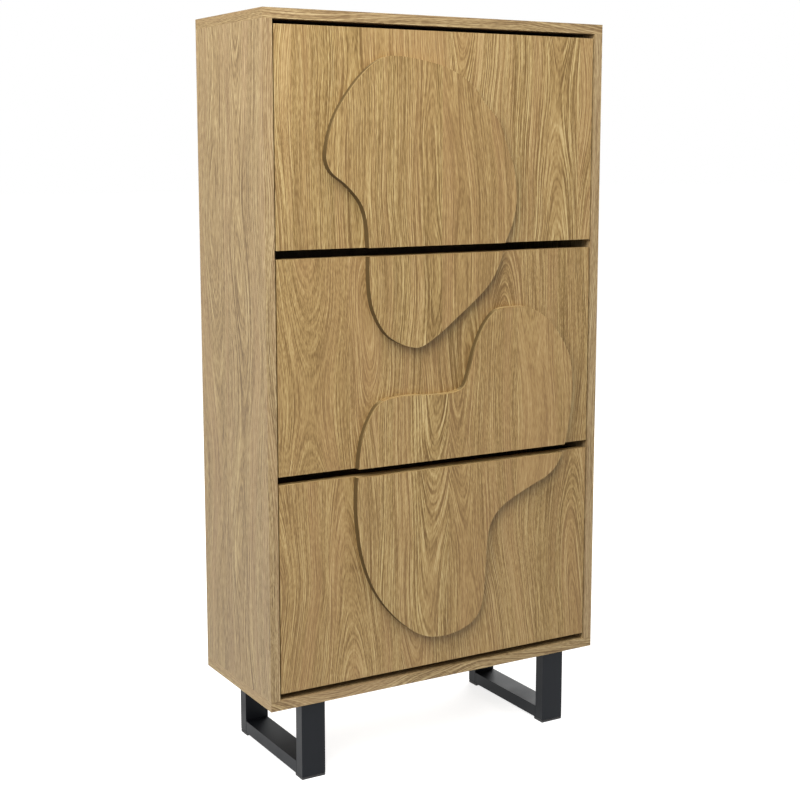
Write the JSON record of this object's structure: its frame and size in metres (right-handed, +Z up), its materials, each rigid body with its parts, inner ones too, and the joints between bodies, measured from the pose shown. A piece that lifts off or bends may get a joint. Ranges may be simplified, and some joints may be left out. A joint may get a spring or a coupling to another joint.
{
  "type": "shoe cabinet",
  "caption": "Slim shoe cabinet with tilting shoe flaps, raised organic decor panels on the fronts and black steel sled legs.",
  "frame": {"origin": "on the floor, under the middle of the cabinet's bounding box", "axes": "+Z up, +X to the right as seen from the front, +Y from the front to the back"},
  "size_m": [0.6, 0.251, 1.155],
  "materials": {
    "oak": "matt oak melamine",
    "oak_inner": "matt oak melamine",
    "hardboard": "smooth hardboard",
    "beech": "raw",
    "black_steel": "fine powder coat",
    "black_plastic": "moulded, fine texture",
    "zinc": "zinc plated"
  },
  "bodies": {
    "root": {"top_panel": "oak", "bottom_panel": "oak", "side_panel_left": "oak", "side_panel_right": "oak", "back_panel": "hardboard", "upper_rail": "oak_inner", "lower_rail": "oak_inner", "dowels": "beech", "cam_bolts": "zinc", "cam_discs": "zinc", "back_screws": "zinc", "pivot_pins": "zinc", "stop_pegs": "zinc", "leg_bar_left": "black_steel", "leg_bar_right": "black_steel", "leg_post_front_left": "black_steel", "leg_post_front_right": "black_steel", "leg_post_rear_left": "black_steel", "leg_post_rear_right": "black_steel", "leg_plate_left": "black_steel", "leg_plate_right": "black_steel", "leg_screws": "black_steel", "foot_plugs": "black_plastic"},
    "flap_top": {"front_top": "oak", "overlay_top": "oak", "cheek_left_top": "black_plastic", "cheek_right_top": "black_plastic", "lower_shelf_top": "oak_inner", "divider_top": "oak_inner", "upper_shelf_top": "oak_inner", "rear_board_top": "oak_inner", "rack_screws_top": "zinc", "overlay_screws_top": "zinc"},
    "flap_middle": {"front_middle": "oak", "overlay_middle_upper": "oak", "overlay_middle_lower": "oak", "cheek_left_middle": "black_plastic", "cheek_right_middle": "black_plastic", "lower_shelf_middle": "oak_inner", "divider_middle": "oak_inner", "upper_shelf_middle": "oak_inner", "rear_board_middle": "oak_inner", "rack_screws_middle": "zinc", "overlay_screws_middle": "zinc"},
    "flap_bottom": {"front_bottom": "oak", "overlay_bottom": "oak", "cheek_left_bottom": "black_plastic", "cheek_right_bottom": "black_plastic", "lower_shelf_bottom": "oak_inner", "divider_bottom": "oak_inner", "upper_shelf_bottom": "oak_inner", "rear_board_bottom": "oak_inner", "rack_screws_bottom": "zinc", "overlay_screws_bottom": "zinc"}
  },
  "joints": [
    {"name": "flap_top_tilt", "type": "hinge", "parent": "root", "child": "flap_top", "pos_m": [0, -0.0895, 0.873], "axis": [1, 0, 0], "range_deg": [0, 40]},
    {"name": "flap_middle_tilt", "type": "hinge", "parent": "root", "child": "flap_middle", "pos_m": [0, -0.0895, 0.54], "axis": [1, 0, 0], "range_deg": [0, 40]},
    {"name": "flap_bottom_tilt", "type": "hinge", "parent": "root", "child": "flap_bottom", "pos_m": [0, -0.0895, 0.207], "axis": [1, 0, 0], "range_deg": [0, 40]}
  ]
}
